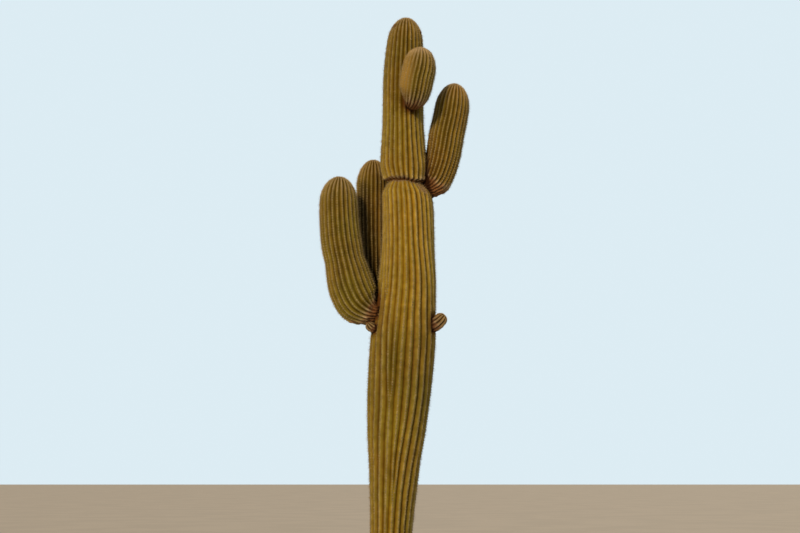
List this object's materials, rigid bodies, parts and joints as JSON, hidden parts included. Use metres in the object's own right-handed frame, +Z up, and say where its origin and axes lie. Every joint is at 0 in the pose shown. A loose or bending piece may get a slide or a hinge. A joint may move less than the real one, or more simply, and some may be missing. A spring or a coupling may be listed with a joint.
{
  "type": "saguaro cactus",
  "caption": "Tall columnar desert cactus with a ribbed, tapering trunk pinched near the top, upturned ribbed arms and small buds, rooted in level ground.",
  "frame": {"origin": "middle of the flat cut under the trunk at ground level", "axes": "+Z up the plant, +X to the viewer's right and +Y away from the viewer in the picture's view"},
  "size_m": [1.3795, 0.9136, 5.745],
  "materials": {
    "trunk_skin": "waxy olive-gold skin in deep ribs, with pale spine cushions along the crests and dark valleys",
    "arm_skin": "waxy olive-green skin in deep ribs, with straw-coloured spines along the crests and tan tips",
    "bud_skin": "brown corky young growth with dense short spines",
    "spines": "straw-coloured to grey needle spines in star-shaped clusters"
  },
  "bodies": {
    "root": {"trunk": "trunk_skin", "left_arm": "arm_skin", "back_arm": "arm_skin", "right_arm": "arm_skin", "upper_arm": "arm_skin", "right_bud": "bud_skin", "left_bud": "bud_skin"}
  },
  "joints": []
}
